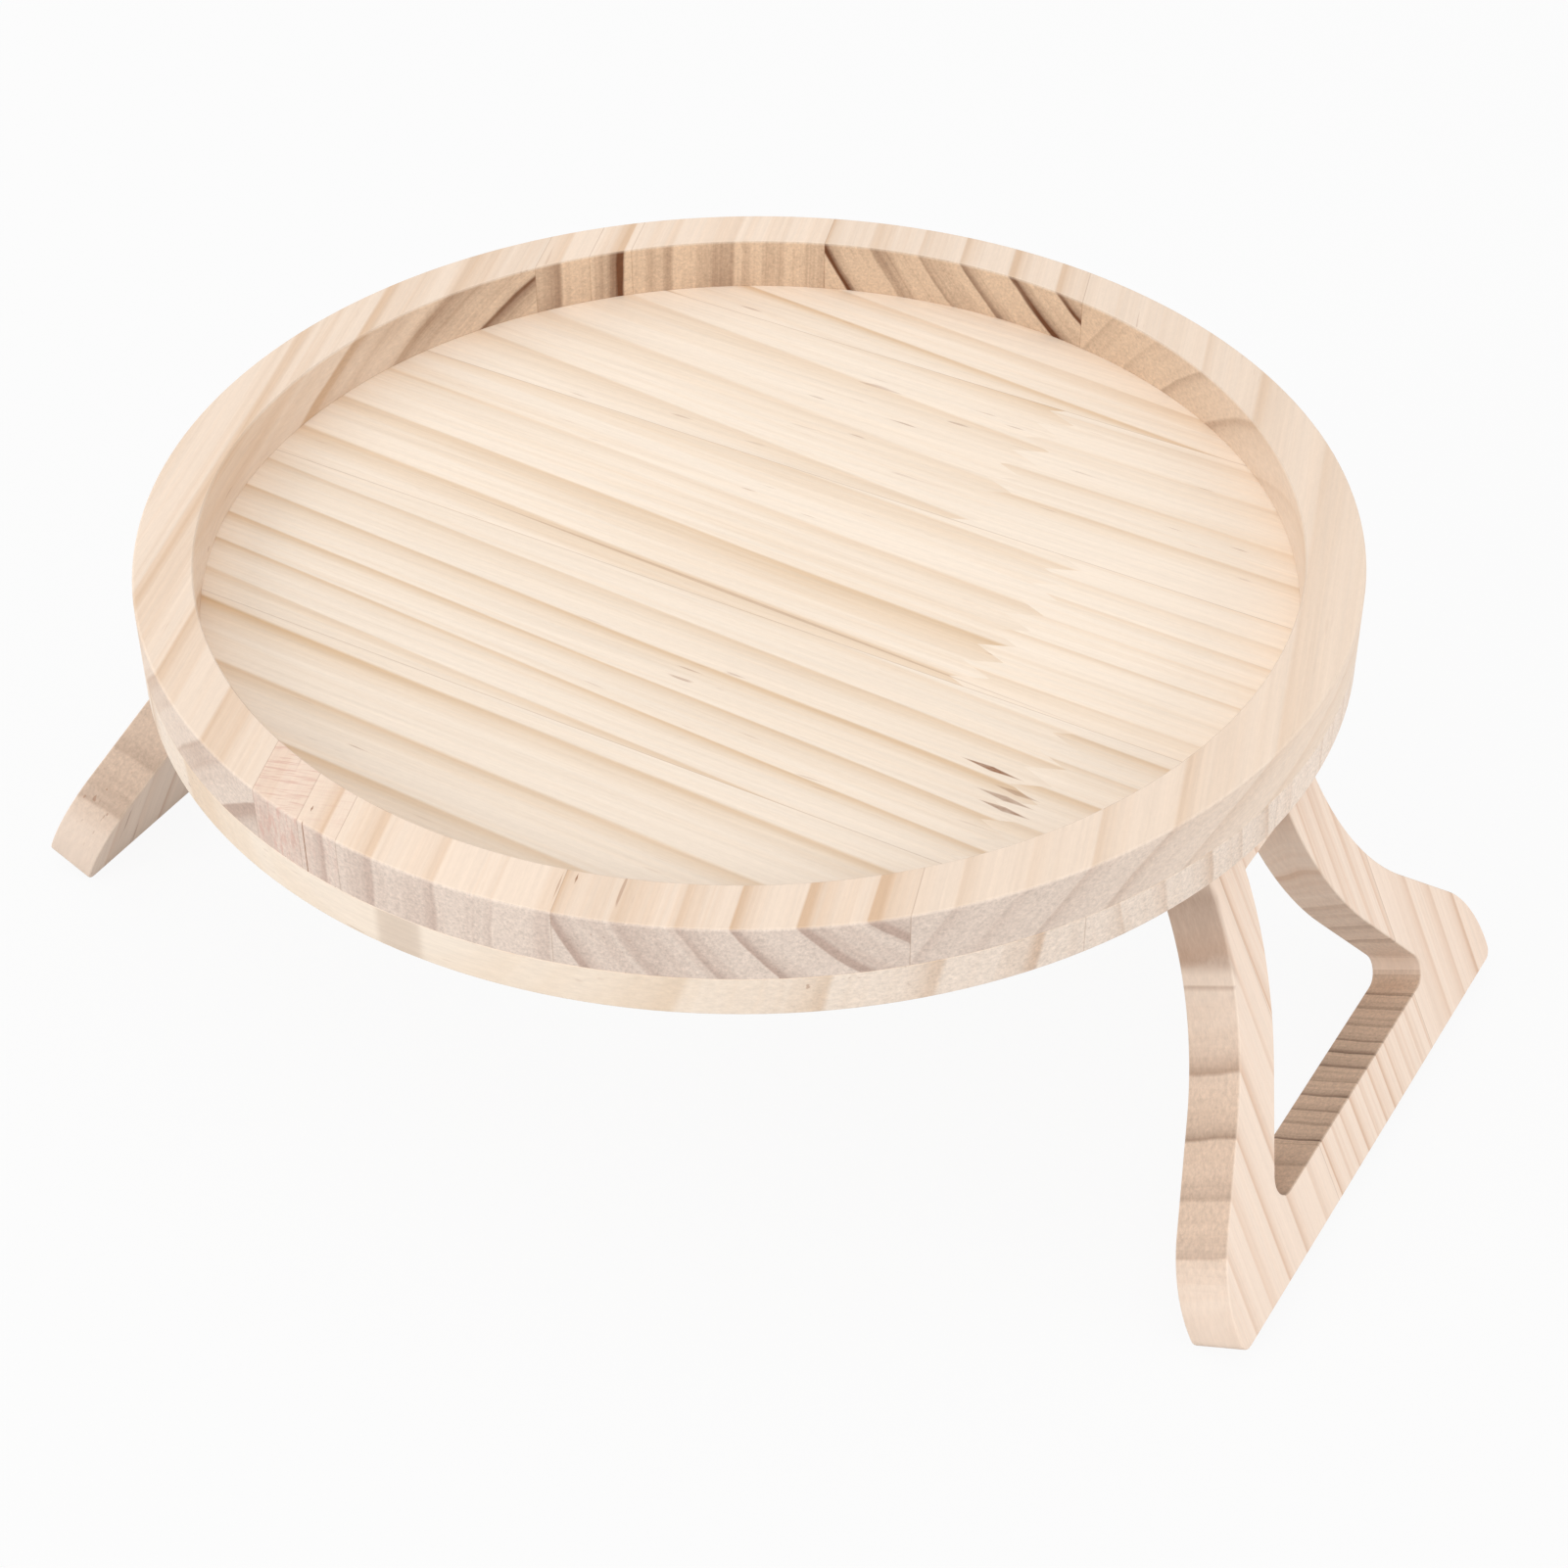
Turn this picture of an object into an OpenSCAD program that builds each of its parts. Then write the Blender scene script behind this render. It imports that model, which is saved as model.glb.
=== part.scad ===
// Sofa arm tray: a round rimmed tray on two splayed board legs that straddle
// the arm of a sofa and fold flat under the tray on small butt hinges.
// Millimetres, +Z up, Z = 0 where the legs stand, +X towards the right leg,
// -Y towards the front. The origin is midway between the legs.

/* [Tray] */

// Outside diameter of the tray
tray_d = 300; // [280:2:320]

// Width of the flat rim ring seen from above
rim_w = 14.6; // [12:0.2:20]

// Height of the rim ring, which is the depth of the tray
ring_h = 14.2; // [10:0.2:20]

// Thickness of the base board
base_t = 10.4; // [9:0.2:14]

// Small bevel sanded on the outer edges of the tray
arris = 0.6; // [0.2:0.1:1.2]

// Height of the underside of the tray above the table
under_h = 106.3; // [100:0.1:125]

/* [Legs] */

// Distance of the top of a leg inside the edge of the tray
leg_inset = 16.2; // [12:0.2:24]

// Angle of a leg away from upright
leg_splay = 24.5; // [20:0.5:28]

// Thickness of the leg board
leg_t = 14; // [12:0.5:16]

// Width of a leg at the foot
leg_w = 159; // [150:1:168]

// Width of a leg at the neck under the tray
neck_w = 56; // [54:1:64]

// Radius of the hollow curve from the neck to the foot
hollow_r = 72.7; // [66:0.1:76]

// Height of the centre of the hollow curve, up the leg
hollow_c_t = 98; // [92:1:102]

// Slope of the straight side above the foot, from level
side_a = 44; // [43:0.5:46]

// Height where the round shoulder of the foot starts, up the leg
toe_c_t = 4; // [3.5:0.5:6]

// Radius at the bottom corners of the foot
foot_corner_r = 3; // [1:0.5:3.5]

/* [Leg window] */

// Width of the wood between the hollow curve and the window
member_w = 16; // [13:0.5:18]

// Height of the rail below the window, up the leg
rail_h = 17.4; // [14:0.2:22]

// Height of the flat top of the window, up the leg
window_top_t = 90.5; // [84:0.5:94]

// Slope of the lower window side from level
window_side_a = 54; // [50:1:58]

// Radius of the lower window corners
window_corner_r = 4.5; // [3:0.5:6]

/* [Hinges] */

// Distance of each hinge from the middle of the leg
hinge_y = 14; // [13.5:0.5:15]

// Length of a hinge
hinge_l = 25; // [23:1:26]

// Reach of a leaf from the pin axis
leaf_w = 10; // [9:0.5:12]

// Thickness of the leaf plate
leaf_t = 1.2; // [1:0.1:1.4]

// Outside radius of the knuckles
knuckle_r = 2.3; // [2.2:0.1:2.4]

// Radius of the hinge pin
pin_r = 1; // [0.9:0.1:1.1]

/* [Screws] */

// Radius of the screw shank
screw_r = 1.1; // [0.9:0.1:1.3]

// Radius of the countersunk screw head
screw_head_r = 2; // [1.8:0.1:2.2]

// Length of a screw
screw_l = 8; // [6:0.5:9]

// Distance of a screw from the middle of its hinge
screw_y = 7.5; // [6.5:0.5:8]

/* [Hidden] */

// Circles
$fn = 96;

// Clearance between a knuckle and the wood beside it
knuckle_gap = 0.2;
// Clearance between a knuckle and the other leaf
leaf_gap = 0.3;
// Clearance along the pin between neighbouring knuckles
axial_gap = 0.25;
// Running clearance of the moving knuckles on the pin
pin_fit = 0.05;
// Clearance of the leg bevel under the tray, the outward stop
stop_gap = 0.15;
// Clearance of a screw shank in its leaf
screw_fit = 0.15;
// Overrun of a cutting solid past a face
cut = 1;
// Lap of a straight side into the curve that it runs on into
lap = 0.02;

// Number of knuckles on a hinge, shared by its two leaves
knuckle_n = 5;
// Length of one knuckle with its gap
knuckle_pitch = hinge_l / knuckle_n;
// Corner radius of a leaf
leaf_corner_r = 1.2;
// Peened head of the hinge pin
pin_head_r = 1.6;
pin_head_t = 0.5;
// Height of the countersunk head
screw_head_h = 1;
// Length of the screw point
screw_point_l = 2.5;
// Distance of a screw from the pin axis
screw_x = (leaf_w + knuckle_r + leaf_gap) / 2 + 0.2;

// Tray levels
tray_r = tray_d / 2;
floor_z = under_h + base_t;
rim_z = floor_z + ring_h;
rim_in_r = tray_r - rim_w;

// Distance of the pin axis from the tray and from the leg
pivot_d = knuckle_r + knuckle_gap;

// Leg placement
foot_out_z = leg_t * sin(leg_splay);
foot_out_x = tray_r - leg_inset + (under_h - foot_out_z) * tan(leg_splay);
// Inner face of the leg where it meets the plane of the underside
corner_x = foot_out_x - leg_t * cos(leg_splay) - under_h * tan(leg_splay);
pivot_x = corner_x + pivot_d * tan(leg_splay) - pivot_d / cos(leg_splay);
pivot_z = under_h - pivot_d;
// Board length before the bevel is cut
leg_blank = (under_h + leg_t) / cos(leg_splay);

// Leg outline: the straight side touches the hollow curve and the shoulder
foot_half = leg_w / 2;
neck_half = neck_w / 2;
hollow_c_s = neck_half + hollow_r;
tangent_c = cos(90 - side_a);
tangent_s = sin(90 - side_a);
shoulder_rise = (hollow_c_t - toe_c_t) * tangent_s;
toe_r = ((hollow_c_s - foot_half) * tangent_c + shoulder_rise - hollow_r) / (1 - tangent_c);
toe_c_s = foot_half - toe_r;

// Window outline
window_arc_r = hollow_r + member_w;
side_n_a = 90 - window_side_a;
side_s = hollow_c_s - window_arc_r * cos(side_n_a);
side_t = hollow_c_t - window_arc_r * sin(side_n_a);
// Meeting point of the sloping side and the rail
side_foot_s = side_s + (side_t - rail_h) / tan(window_side_a);
window_corner_s = side_foot_s - window_corner_r / tan(window_side_a / 2);
window_corner_t = rail_h + window_corner_r;
window_top_rise = hollow_c_t - window_top_t;
window_top_s = hollow_c_s - sqrt(window_arc_r * window_arc_r - window_top_rise * window_top_rise);

// Colours
rim_colour = [0.86, 0.75, 0.66];
board_colour = [0.91, 0.81, 0.68];
leg_colour = [0.83, 0.69, 0.58];
steel_colour = [0.62, 0.63, 0.64];
screw_colour = [0.48, 0.49, 0.5];

// Placement helpers

// One side of the tray: +1 is the right leg, -1 the left leg
module on_side(side) {
    if (side > 0) {
        children();
    } else {
        mirror([1, 0, 0])
            children();
    }
}

// Frame of a hinge, with the pin axis along Y through the origin
module at_pivot(y) {
    translate([pivot_x, y, pivot_z])
        children();
}

// Turns a leaf drawn against the tray onto the inner face of the leg
module onto_leg() {
    rotate([0, 90 - leg_splay, 0])
        mirror([1, 0, 0])
            children();
}

// Screws

// A countersunk wood screw, head at the origin, pointing along +Z
module screw() {
    cylinder(h = screw_head_h, r1 = screw_head_r, r2 = screw_r);
    translate([0, 0, screw_head_h])
        cylinder(h = screw_l - screw_head_h - screw_point_l, r = screw_r);
    translate([0, 0, screw_l - screw_point_l])
        cylinder(h = screw_point_l, r1 = screw_r, r2 = 0);
}

// The two screws of a leaf against the tray, heads flush with the leaf
module leaf_screws() {
    for (y = [-screw_y, screw_y])
        translate([-screw_x, y, pivot_d - leaf_t])
            screw();
}

// The screws of both hinges on one leg, on the tray or on the leg
module screw_group(side, on_leg) {
    on_side(side)
        for (y = [-hinge_y, hinge_y])
            at_pivot(y)
                if (on_leg) {
                    onto_leg()
                        leaf_screws();
                } else {
                    leaf_screws();
                }
}

// Hinges

// One knuckle ring, the index counting from the front end of the hinge
module knuckle(index, bore_r) {
    translate([0, -hinge_l / 2 + index * knuckle_pitch + axial_gap / 2, 0])
        rotate([-90, 0, 0])
            difference() {
                union() {
                    cylinder(h = knuckle_pitch - axial_gap, r = knuckle_r);
                    // Web from the plate into the curl
                    translate([-knuckle_r - leaf_gap, -pivot_d, 0])
                        cube([knuckle_r + leaf_gap, leaf_t, knuckle_pitch - axial_gap]);
                }
                translate([0, 0, -cut])
                    cylinder(h = knuckle_pitch + 2 * cut, r = bore_r);
            }
}

// The flat plate of a leaf with its round outer corners and screw holes
module leaf_plate() {
    plate_reach = leaf_w - knuckle_r - leaf_gap;
    difference() {
        translate([-leaf_w, -hinge_l / 2, pivot_d - leaf_t])
            linear_extrude(height = leaf_t)
                union() {
                    translate([leaf_corner_r, 0])
                        square([plate_reach - leaf_corner_r, hinge_l]);
                    translate([0, leaf_corner_r])
                        square([plate_reach, hinge_l - 2 * leaf_corner_r]);
                    for (y = [leaf_corner_r, hinge_l - leaf_corner_r])
                        translate([leaf_corner_r, y])
                            circle(r = leaf_corner_r);
                }
        for (y = [-screw_y, screw_y])
            translate([-screw_x, y, pivot_d - leaf_t]) {
                cylinder(h = screw_head_h, r1 = screw_head_r, r2 = screw_r);
                cylinder(h = leaf_t + cut, r = screw_r + screw_fit);
            }
    }
}

// A leaf drawn against the tray, with the even or the odd knuckles
module leaf(first_knuckle, bore_r) {
    union() {
        leaf_plate();
        for (index = [first_knuckle : 2 : knuckle_n - 1])
            knuckle(index, bore_r);
    }
}

module tray_leaf(side, y) {
    color(steel_colour)
        on_side(side)
            at_pivot(y)
                leaf(0, pin_r);
}

module leg_leaf(side, y) {
    color(steel_colour)
        on_side(side)
            at_pivot(y)
                onto_leg()
                    leaf(1, pin_r + pin_fit);
}

// The pin with a peened head on each end
module hinge_pin(side, y) {
    color(screw_colour)
        on_side(side)
            at_pivot(y)
                rotate([-90, 0, 0]) {
                    translate([0, 0, -hinge_l / 2])
                        cylinder(h = hinge_l, r = pin_r);
                    for (z = [-hinge_l / 2 - pin_head_t, hinge_l / 2])
                        translate([0, 0, z])
                            cylinder(h = pin_head_t, r = pin_head_r);
                }
}

// Legs

// Half of the leg outline, S across the board and T up it
module leg_half_outline() {
    union() {
        difference() {
            polygon([
                [0, 0],
                [foot_half - foot_corner_r, 0],
                [foot_half, foot_corner_r],
                [foot_half, toe_c_t],
                [toe_c_s, toe_c_t],
                [toe_c_s + (toe_r - lap) * tangent_c, toe_c_t + (toe_r - lap) * tangent_s],
                [hollow_c_s - (hollow_r - lap) * tangent_c, hollow_c_t - (hollow_r - lap) * tangent_s],
                [neck_half + lap, hollow_c_t],
                [neck_half + lap, leg_blank],
                [0, leg_blank]
            ]);
            translate([hollow_c_s, hollow_c_t])
                circle(r = hollow_r);
        }
        // Round shoulder over the foot
        intersection() {
            translate([toe_c_s, toe_c_t])
                circle(r = toe_r);
            translate([toe_c_s, toe_c_t])
                square(toe_r + cut);
        }
        // Round bottom corner
        translate([foot_half - foot_corner_r, foot_corner_r])
            circle(r = foot_corner_r);
    }
}

// Half of the window cut through the leg
module window_half_outline() {
    union() {
        difference() {
            polygon([
                [0, rail_h + lap],
                [window_corner_s, rail_h + lap],
                [
                    window_corner_s + (window_corner_r - lap) * cos(side_n_a),
                    window_corner_t + (window_corner_r - lap) * sin(side_n_a)
                ],
                [side_s + lap * cos(side_n_a), side_t + lap * sin(side_n_a)],
                [window_top_s + cut, window_top_t],
                [0, window_top_t]
            ]);
            translate([hollow_c_s, hollow_c_t])
                circle(r = window_arc_r);
        }
        translate([window_corner_s, window_corner_t])
            circle(r = window_corner_r);
    }
}

// The leg board standing on its splayed foot, before the bevel
module leg_board() {
    translate([foot_out_x, 0, foot_out_z])
        rotate([0, -leg_splay, 0])
            rotate([90, 0, 90])
                translate([0, 0, -leg_t])
                    linear_extrude(height = leg_t)
                        difference() {
                            union() {
                                leg_half_outline();
                                mirror([1, 0])
                                    leg_half_outline();
                            }
                            window_half_outline();
                            mirror([1, 0])
                                window_half_outline();
                        }
}

module leg_frame(side) {
    color(leg_colour)
        on_side(side)
            difference() {
                leg_board();
                // Bevel that lies under the tray and stops the leg
                translate([0, -neck_w, under_h - stop_gap])
                    cube([tray_d, 2 * neck_w, leg_blank]);
                // Pilot holes
                for (y = [-hinge_y, hinge_y])
                    at_pivot(y)
                        onto_leg()
                            leaf_screws();
            }
}

// Tray

module tray_base_board() {
    color(board_colour)
        difference() {
            rotate_extrude()
                polygon([
                    [0, under_h],
                    [tray_r - arris, under_h],
                    [tray_r, under_h + arris],
                    [tray_r, floor_z],
                    [0, floor_z]
                ]);
            // Pilot holes
            for (side = [-1, 1])
                on_side(side)
                    for (y = [-hinge_y, hinge_y])
                        at_pivot(y)
                            leaf_screws();
        }
}

module tray_rim_ring() {
    color(rim_colour)
        rotate_extrude()
            polygon([
                [rim_in_r, floor_z],
                [tray_r, floor_z],
                [tray_r, rim_z - arris],
                [tray_r - arris, rim_z],
                [rim_in_r + arris, rim_z],
                [rim_in_r, rim_z - arris]
            ]);
}

// Nodes

tray_base_board();
tray_rim_ring();
leg_frame(1);  // right_leg_frame
leg_frame(-1);  // left_leg_frame
tray_leaf(1, -hinge_y);  // right_front_hinge_tray_leaf
leg_leaf(1, -hinge_y);  // right_front_hinge_leg_leaf
hinge_pin(1, -hinge_y);  // right_front_hinge_pin
tray_leaf(1, hinge_y);  // right_rear_hinge_tray_leaf
leg_leaf(1, hinge_y);  // right_rear_hinge_leg_leaf
hinge_pin(1, hinge_y);  // right_rear_hinge_pin
tray_leaf(-1, -hinge_y);  // left_front_hinge_tray_leaf
leg_leaf(-1, -hinge_y);  // left_front_hinge_leg_leaf
hinge_pin(-1, -hinge_y);  // left_front_hinge_pin
tray_leaf(-1, hinge_y);  // left_rear_hinge_tray_leaf
leg_leaf(-1, hinge_y);  // left_rear_hinge_leg_leaf
hinge_pin(-1, hinge_y);  // left_rear_hinge_pin
color(screw_colour) screw_group(1, false);  // right_tray_leaf_screws
color(screw_colour) screw_group(1, true);  // right_leg_leaf_screws
color(screw_colour) screw_group(-1, false);  // left_tray_leaf_screws
color(screw_colour) screw_group(-1, true);  // left_leg_leaf_screws
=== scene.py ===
"""Sofa arm tray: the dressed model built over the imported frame, in metres with +Z up."""

import logging
import math
from dataclasses import dataclass
from enum import Enum

import bmesh
import bpy
from mathutils import Matrix, Vector


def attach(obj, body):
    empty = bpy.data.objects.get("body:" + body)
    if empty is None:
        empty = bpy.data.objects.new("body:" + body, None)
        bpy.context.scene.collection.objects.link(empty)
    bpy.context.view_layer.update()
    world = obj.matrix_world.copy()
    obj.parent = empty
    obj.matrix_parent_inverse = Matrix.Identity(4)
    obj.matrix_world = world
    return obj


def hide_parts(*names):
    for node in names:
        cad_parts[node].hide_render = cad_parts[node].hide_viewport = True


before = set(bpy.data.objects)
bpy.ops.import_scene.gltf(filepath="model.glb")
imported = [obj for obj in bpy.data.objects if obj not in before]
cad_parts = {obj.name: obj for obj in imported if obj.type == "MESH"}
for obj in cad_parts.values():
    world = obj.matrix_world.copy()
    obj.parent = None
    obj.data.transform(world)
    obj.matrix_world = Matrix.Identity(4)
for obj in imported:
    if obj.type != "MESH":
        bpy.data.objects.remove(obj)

LOG = logging.getLogger("sofa_arm_tray")
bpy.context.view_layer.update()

SAME_POINT = 1e-7
TOUCHING = 1e-6
SAME_LEVEL = 1e-5
CREASE_DEGREES = 40.0
WOOD_CORNER_DEGREES = 35.0
STEEL_CORNER_DEGREES = 50.0
FLAT_DEGREES = 0.5

Triple = tuple[float, float, float]
Paint = tuple[int, int, int]
Socket = bpy.types.NodeSocket
Feed = float | tuple[float, ...] | Socket


class Side(Enum):
    """The side of the tray that a leg stands on, as the sign of its X."""

    RIGHT = 1
    LEFT = -1

    @property
    def word(self) -> str:
        """The side's name, as the frame's nodes spell it."""
        return self.name.lower()


class Sawn(Enum):
    """How the edge of a turned or sawn piece is finished."""

    CRISP = 1
    EASED = 3


def new_piece(bm: bmesh.types.BMesh, name: str, grain: Vector | None = None) -> bpy.types.Object:
    """Turns a finished bmesh into an object at the origin with weighted normals.

    Args:
        bm: The shape, in the frame's own place. It is freed.
        name: The name of the new object.
        grain: The direction of the wood's grain, by which faces are marked as end grain.

    Returns:
        The new object, linked to the scene.
    """
    bmesh.ops.remove_doubles(bm, verts=bm.verts, dist=SAME_POINT)
    bmesh.ops.recalc_face_normals(bm, faces=bm.faces)
    if grain:
        bm.normal_update()
        ends = bm.faces.layers.float.new("end_grain")
        for face in bm.faces:
            face[ends] = abs(face.normal.dot(grain))
    mesh = bpy.data.meshes.new(name)
    bm.to_mesh(mesh)
    bm.free()
    mesh.shade_smooth()
    mesh.set_sharp_from_angle(angle=math.radians(CREASE_DEGREES))
    piece = bpy.data.objects.new(name, mesh)
    bpy.context.scene.collection.objects.link(piece)
    weighted = piece.modifiers.new("weighted_normals", "WEIGHTED_NORMAL")
    weighted.keep_sharp = True
    return piece


def dress(
    piece: bpy.types.Object, finish: bpy.types.Material, body: str, node: str
) -> None:
    """Gives a piece its material and its place in the frame.

    Args:
        piece: The finished object.
        finish: The material that it wears.
        body: The moving body that it rides on.
        node: The frame's node that it stands for.
    """
    piece.data.materials.clear()
    piece.data.materials.append(finish)
    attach(piece, body)
    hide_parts(node)
    LOG.info("%s rides on %s with %d faces", piece.name, body, len(piece.data.polygons))


class Pencil:
    """Draws a chain of lines and arcs in the XY plane of a bmesh."""

    def __init__(self, start: tuple[float, float]) -> None:
        """Starts a chain at a point.

        Args:
            start: The point's X and Y.
        """
        self.bm: bmesh.types.BMesh = bmesh.new()
        self.bm.faces.layers.float.new("eased_edge")
        self.tip: bmesh.types.BMVert = self.bm.verts.new((start[0], start[1], 0.0))

    def line(self, x: float, y: float) -> None:
        """Draws a straight line to a point.

        Args:
            x: The point's X.
            y: The point's Y.
        """
        made = bmesh.ops.extrude_vert_indiv(self.bm, verts=[self.tip])
        self.tip = made["verts"][0]
        self.tip.co = Vector((x, y, 0.0))

    def arc(self, centre: tuple[float, float], degrees: float, steps: int) -> None:
        """Draws an arc round a centre.

        Args:
            centre: The centre's X and Y.
            degrees: The angle of the arc, counter-clockwise where it is positive.
            steps: The number of straight steps in it.
        """
        made = bmesh.ops.spin(
            self.bm,
            geom=[self.tip],
            cent=(centre[0], centre[1], 0.0),
            axis=(0.0, 0.0, 1.0),
            angle=math.radians(degrees),
            steps=steps,
            use_merge=False,
        )
        self.tip = next(v for v in made["geom_last"] if isinstance(v, bmesh.types.BMVert))

    def close(self) -> bmesh.types.BMesh:
        """Joins the end of the chain to its start and fills it.

        Returns:
            The flat face.
        """
        bmesh.ops.remove_doubles(self.bm, verts=self.bm.verts, dist=TOUCHING)
        bmesh.ops.contextual_create(self.bm, geom=self.bm.edges[:])
        return self.bm


def turned(profile: list[tuple[float, float]], steps: int) -> bmesh.types.BMesh:
    """Turns a closed profile of radius and height about the Z axis.

    Args:
        profile: The corners of the profile, as radius and height.
        steps: The number of steps in the full turn.

    Returns:
        The turned solid.
    """
    pencil = Pencil(profile[0])
    for corner in profile[1:]:
        pencil.line(*corner)
    if profile[0][0] > 0.0:
        pencil.line(*profile[0])
    bm = pencil.bm
    bmesh.ops.remove_doubles(bm, verts=bm.verts, dist=SAME_POINT)
    upright = Matrix.Rotation(math.pi / 2, 3, "X")
    bmesh.ops.rotate(bm, verts=bm.verts, cent=(0, 0, 0), matrix=upright)
    bmesh.ops.spin(
        bm,
        geom=bm.verts[:] + bm.edges[:],
        cent=(0, 0, 0),
        axis=(0, 0, 1),
        angle=2 * math.pi,
        steps=steps,
        use_merge=True,
    )
    bmesh.ops.remove_doubles(bm, verts=bm.verts, dist=SAME_POINT)
    return bm


def ease(
    bm: bmesh.types.BMesh, edges: list[bmesh.types.BMEdge], width: float, finish: Sawn
) -> None:
    """Rounds edges over by a small width and marks the rounded faces.

    Args:
        bm: The shape, with its layer of eased edges.
        edges: The edges to round.
        width: The width of the rounding.
        finish: How finely the rounding is made.
    """
    made = bmesh.ops.bevel(
        bm,
        geom=edges,
        offset=width,
        offset_type="OFFSET",
        affect="EDGES",
        segments=finish.value,
        profile=0.5,
        material=-1,
        clamp_overlap=True,
    )
    eased = bm.faces.layers.float["eased_edge"]
    for face in made["faces"]:
        face[eased] = 1.0


def sharp_edges(
    bm: bmesh.types.BMesh, degrees: float = WOOD_CORNER_DEGREES
) -> list[bmesh.types.BMEdge]:
    """The edges whose two faces meet at more than an angle."""
    limit = math.radians(degrees)
    return [e for e in bm.edges if len(e.link_faces) == 2 and e.calc_face_angle(0.0) > limit]


def edges_at(bm: bmesh.types.BMesh, height: float) -> list[bmesh.types.BMEdge]:
    """The sharp edges of a turned piece that lie at a height."""
    return [e for e in sharp_edges(bm) if abs(e.verts[0].co.z - height) < SAME_LEVEL]


def shade(red: int, green: int, blue: int) -> tuple[float, float, float, float]:
    """Turns a colour as it is seen on a screen into the linear colour that a shader takes."""
    seen = (channel / 255 for channel in (red, green, blue))
    return (*(c / 12.92 if c <= 0.04045 else ((c + 0.055) / 1.055) ** 2.4 for c in seen), 1.0)


class Graph:
    """Adds nodes to a node tree and links them as they are added."""

    def __init__(self, tree: bpy.types.NodeTree) -> None:
        """Starts on a tree."""
        self.tree: bpy.types.NodeTree = tree

    def add(self, kind: str, feeds: dict[int | str, Feed], **settings: object) -> bpy.types.Node:
        """Adds one node.

        Args:
            kind: The type of the node.
            feeds: What each input takes, a number or an output of another node.
            **settings: The node's own settings.

        Returns:
            The node.
        """
        node = self.tree.nodes.new(kind)
        for name, value in settings.items():
            setattr(node, name, value)
        for key, value in feeds.items():
            if isinstance(value, Socket):
                self.tree.links.new(value, node.inputs[key])
            else:
                node.inputs[key].default_value = value
        return node

    def math(self, operation: str, a: Feed, b: Feed = 0.0, c: Feed = 0.0) -> Socket:
        """Works out a number."""
        return self.add("ShaderNodeMath", {0: a, 1: b, 2: c}, operation=operation).outputs[0]

    def scaled(self, place: Socket, x: float, y: float, z: float) -> Socket:
        """Stretches a place by a factor along each axis."""
        feeds = {0: place, 1: (x, y, z)}
        return self.add("ShaderNodeVectorMath", feeds, operation="MULTIPLY").outputs[0]

    def cloud(self, place: Socket, detail: float = 2.0, roughness: float = 0.5) -> Socket:
        """Soft noise from 0 to 1 over a place."""
        feeds = {"Vector": place, "Scale": 1.0, "Detail": detail, "Roughness": roughness}
        return self.add("ShaderNodeTexNoise", feeds).outputs[0]

    def ease(
        self, value: Feed, low: float, high: float, start: float = 0.0, end: float = 1.0
    ) -> Socket:
        """Turns a value between two limits into one that runs smoothly from start to end."""
        feeds = {0: value, 1: low, 2: high, 3: start, 4: end}
        return self.add("ShaderNodeMapRange", feeds, interpolation_type="SMOOTHSTEP").outputs[0]

    def blend(self, factor: Feed, a: Feed, b: Feed, kind: str = "MIX") -> Socket:
        """Blends two colours."""
        feeds = {0: factor, 6: a, 7: b}
        return self.add("ShaderNodeMix", feeds, data_type="RGBA", blend_type=kind).outputs[2]

    def choose(self, factor: Feed, a: Feed, b: Feed) -> Socket:
        """Takes the first of two vectors at 0 and the second at 1."""
        return self.add("ShaderNodeMix", {0: factor, 4: a, 5: b}, data_type="VECTOR").outputs[1]

    def surface(self, group: bpy.types.Node, relief: float, strength: float) -> None:
        """Links a group's colour, roughness and height to the shader.

        Args:
            group: The group's node.
            relief: The height of the relief in metres.
            strength: How strongly the relief shows.
        """
        shader = self.tree.nodes["Principled BSDF"]
        self.tree.links.new(group.outputs["Colour"], shader.inputs["Base Color"])
        self.tree.links.new(group.outputs["Roughness"], shader.inputs["Roughness"])
        feeds = {"Height": group.outputs["Height"], "Distance": relief, "Strength": strength}
        bump = self.add("ShaderNodeBump", feeds)
        self.tree.links.new(bump.outputs[0], shader.inputs["Normal"])

    def length(self, x: Socket, y: Socket) -> Socket:
        """The length of a line that reaches x one way and y the other."""
        squares = [self.math("MULTIPLY", side, side) for side in (x, y)]
        return self.math("SQRT", self.math("ADD", *squares))

    def split(self, vector: Socket) -> tuple[Socket, Socket, Socket]:
        """The three parts of a vector."""
        outputs = self.add("ShaderNodeSeparateXYZ", {0: vector}).outputs
        return outputs[0], outputs[1], outputs[2]


class Group(Graph):
    """A shader node group under construction, with named inputs and outputs."""

    def __init__(self, name: str, inputs: dict[str, str], outputs: dict[str, str]) -> None:
        """Makes the group and its sockets.

        Args:
            name: The group's name.
            inputs: Each input's name and socket type.
            outputs: Each output's name and socket type.
        """
        super().__init__(bpy.data.node_groups.new(name, "ShaderNodeTree"))
        for way, sockets in (("INPUT", inputs), ("OUTPUT", outputs)):
            for socket, kind in sockets.items():
                kind = f"NodeSocket{kind}"
                self.tree.interface.new_socket(socket, in_out=way, socket_type=kind)
        self.given: bpy.types.Node = self.tree.nodes.new("NodeGroupInput")

    def take(self, name: str) -> Socket:
        """One of the group's inputs."""
        return self.given.outputs[name]

    def give(self, results: dict[str, Socket]) -> bpy.types.NodeTree:
        """Links the results to the outputs and hands over the finished group."""
        self.add("NodeGroupOutput", results)
        return self.tree


FIGURE_PARTS = ("Late Wood", "Line", "Fibre", "Fleck", "Pores", "Saw Marks")
SURFACE_PARTS = {"Colour": "Color", "Roughness": "Float", "Height": "Float"}


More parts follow.
